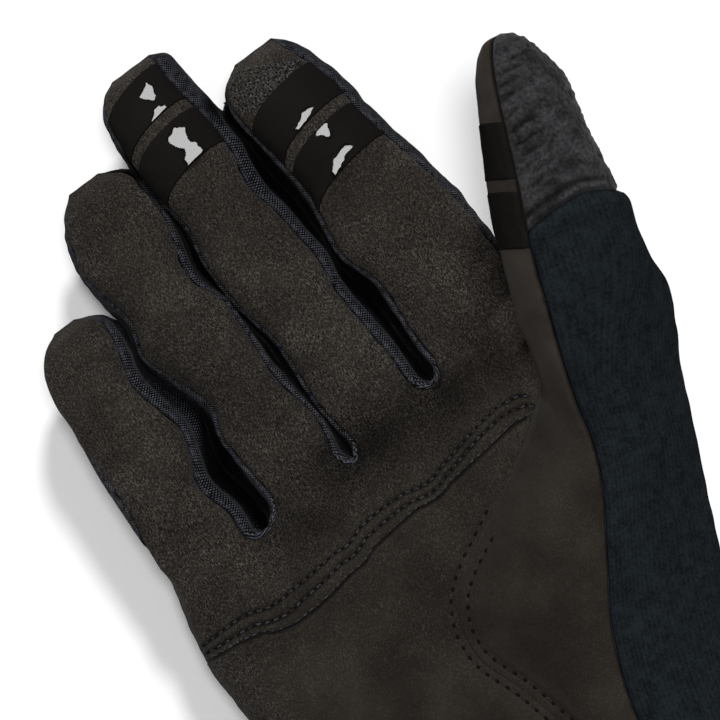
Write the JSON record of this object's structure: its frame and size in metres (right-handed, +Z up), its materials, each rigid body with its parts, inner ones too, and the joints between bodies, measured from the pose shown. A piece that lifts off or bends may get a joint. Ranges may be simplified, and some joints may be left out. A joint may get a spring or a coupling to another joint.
{
  "type": "cycling glove",
  "caption": "Right-hand full-finger cycling glove, palm up: dark suede palm and curved thumb panel, satin finger strips, terry thumb, stretch back, knit cuff, glossy silicone tip bars",
  "frame": {"origin": "middle of the outline, on the surface that the glove lies on", "axes": "+Y runs from the cuff to the fingertips, +X to the thumb's side, +Z up out of the palm; the glove lies on its back"},
  "size_m": [0.1318, 0.235, 0.049],
  "materials": {
    "suede": "brushed microfibre suede, dry, dark grey-brown",
    "stretch": "matt blue-black stretch knit",
    "satin": "blue-black woven satin with a soft sheen",
    "terry": "mottled dark grey terry, dry",
    "knit": "matt ribbed knit",
    "silicone": "glossy black silicone"
  },
  "bodies": {
    "root": {"palm_upper": "suede", "palm_heel": "suede", "thumb_front": "suede", "thumb_back": "stretch", "thumb_terry": "terry", "back_panel": "stretch", "cuff": "knit", "index_side": "satin", "fourchette_pinky_ring": "satin", "fourchette_ring_middle": "satin", "fourchette_middle_index": "satin", "middle_grip_upper": "silicone", "middle_grip_lower": "silicone", "index_grip_upper": "silicone", "index_grip_lower": "silicone", "thumb_grip_upper": "silicone", "thumb_grip_lower": "silicone"}
  },
  "joints": []
}
